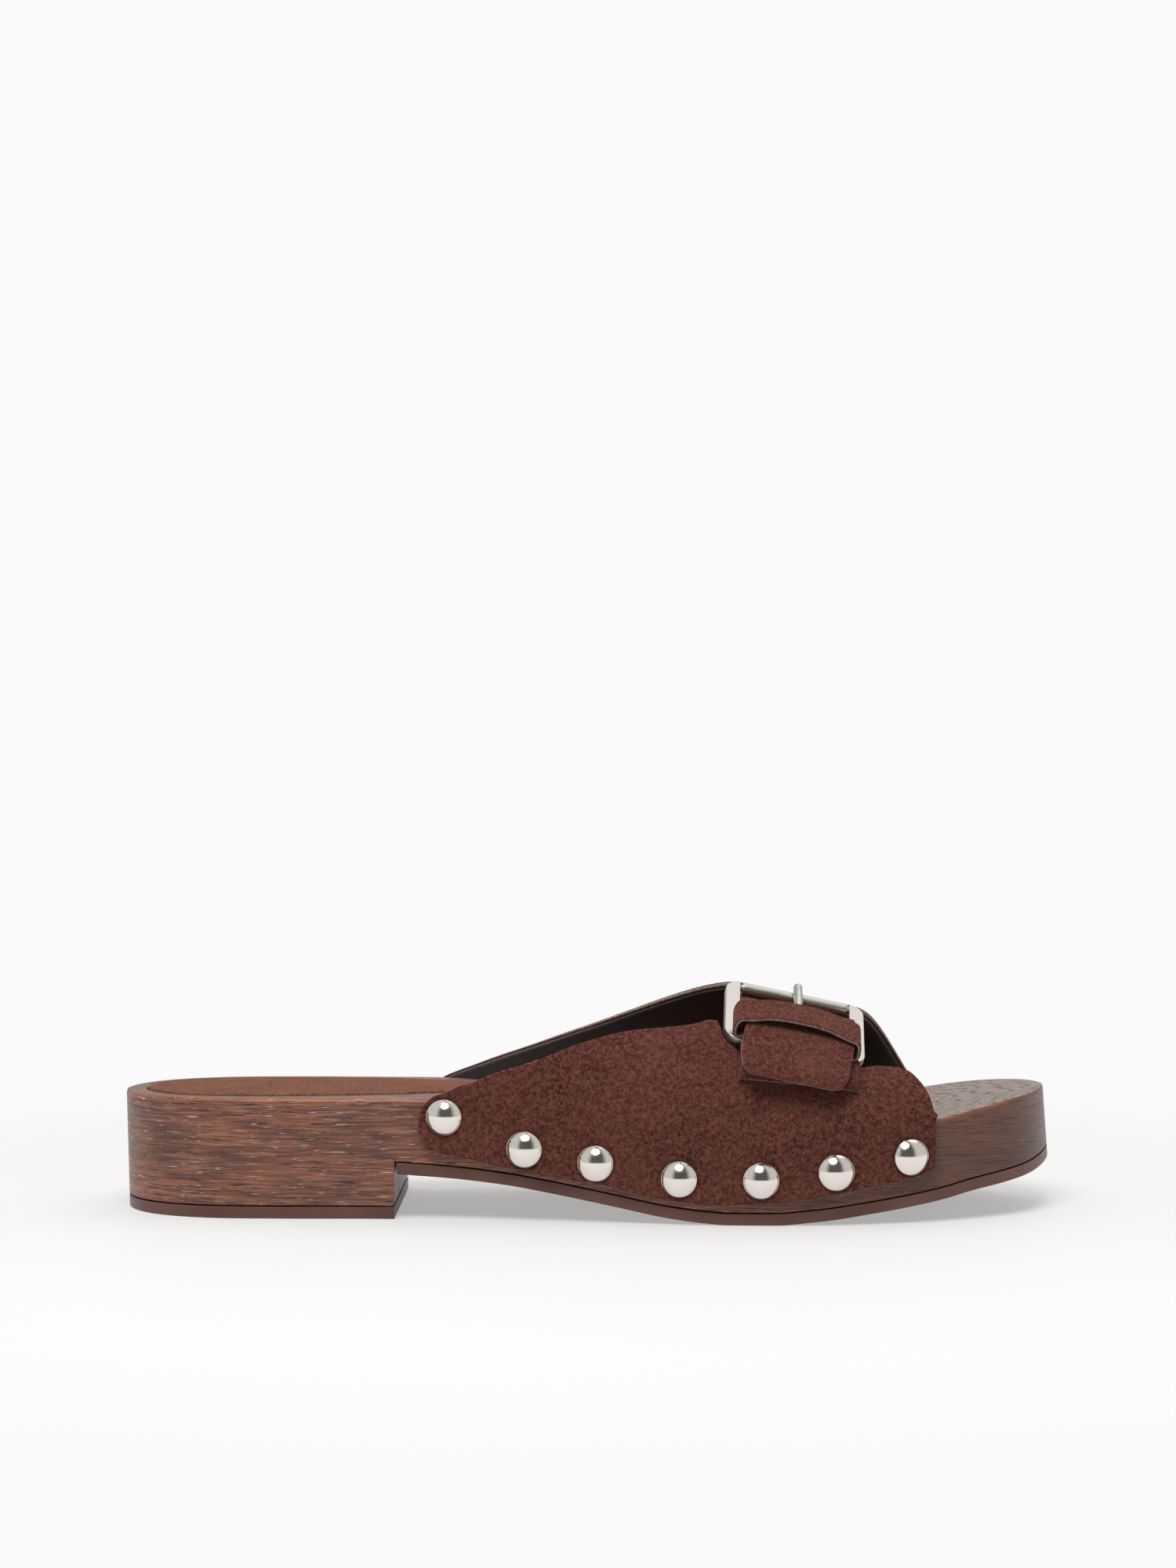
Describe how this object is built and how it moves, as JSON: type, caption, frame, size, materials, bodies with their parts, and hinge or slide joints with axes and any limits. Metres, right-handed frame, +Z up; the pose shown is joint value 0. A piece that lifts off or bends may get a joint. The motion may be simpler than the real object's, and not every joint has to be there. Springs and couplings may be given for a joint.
{
  "type": "wooden clog",
  "caption": "Right-foot open-toe wooden clog with a one-piece wooden sole and block heel, nailed suede uppers and a roller-buckle strap over the instep.",
  "frame": {"origin": "middle of the bounding box at ground level, between heel and toe", "axes": "+X from the heel to the toe, +Y to the inner (medial) side of the right foot, +Z up"},
  "size_m": [0.25, 0.0984, 0.0608],
  "materials": {
    "sole_wood": "dark brown stain under a satin lacquer, open pores",
    "sole_rubber": "brown, satin",
    "pad_foam": "latex foam, matte",
    "pad_suede": "suede, napped",
    "upper_suede": "suede, napped, dark red-brown",
    "lining_leather": "smooth, black, low sheen",
    "nail_nickel": "polished nickel",
    "buckle_nickel": "satin nickel"
  },
  "bodies": {
    "root": {"wooden_sole": "sole_wood", "heel_lift": "sole_rubber", "forefoot_outsole": "sole_rubber", "heel_pad_foam": "pad_foam", "heel_pad_cover": "pad_suede", "lateral_lining": "lining_leather", "lateral_upper": "upper_suede", "medial_lining": "lining_leather", "medial_upper": "upper_suede", "lateral_nail_1": "nail_nickel", "lateral_nail_2": "nail_nickel", "lateral_nail_3": "nail_nickel", "lateral_nail_4": "nail_nickel", "lateral_nail_5": "nail_nickel", "lateral_nail_6": "nail_nickel", "lateral_nail_7": "nail_nickel", "medial_nail_1": "nail_nickel", "medial_nail_2": "nail_nickel", "medial_nail_3": "nail_nickel", "medial_nail_4": "nail_nickel", "medial_nail_5": "nail_nickel", "medial_nail_6": "nail_nickel", "medial_nail_7": "nail_nickel", "buckle_tab": "upper_suede", "keeper_loop": "upper_suede"},
    "buckle_frame": {"buckle_frame": "buckle_nickel"},
    "buckle_roller": {"buckle_roller": "buckle_nickel"},
    "buckle_prong": {"buckle_prong": "buckle_nickel"}
  },
  "joints": [
    {"name": "buckle_pivot", "type": "hinge", "parent": "root", "child": "buckle_frame", "pos_m": [0.05369, -0.03261, 0.04407], "axis": [0.977, 0.0488, -0.2077], "range_deg": [0, 3]},
    {"name": "prong_pivot", "type": "hinge", "parent": "buckle_frame", "child": "buckle_prong", "pos_m": [0.05369, -0.03261, 0.04407], "axis": [0.977, 0.0488, -0.2077], "range_deg": [0, 3]},
    {"name": "roller_spin", "type": "hinge", "parent": "buckle_frame", "child": "buckle_roller", "pos_m": [0.05516, -0.01137, 0.05599], "axis": [0.977, 0.0488, -0.2077], "continuous": true}
  ]
}
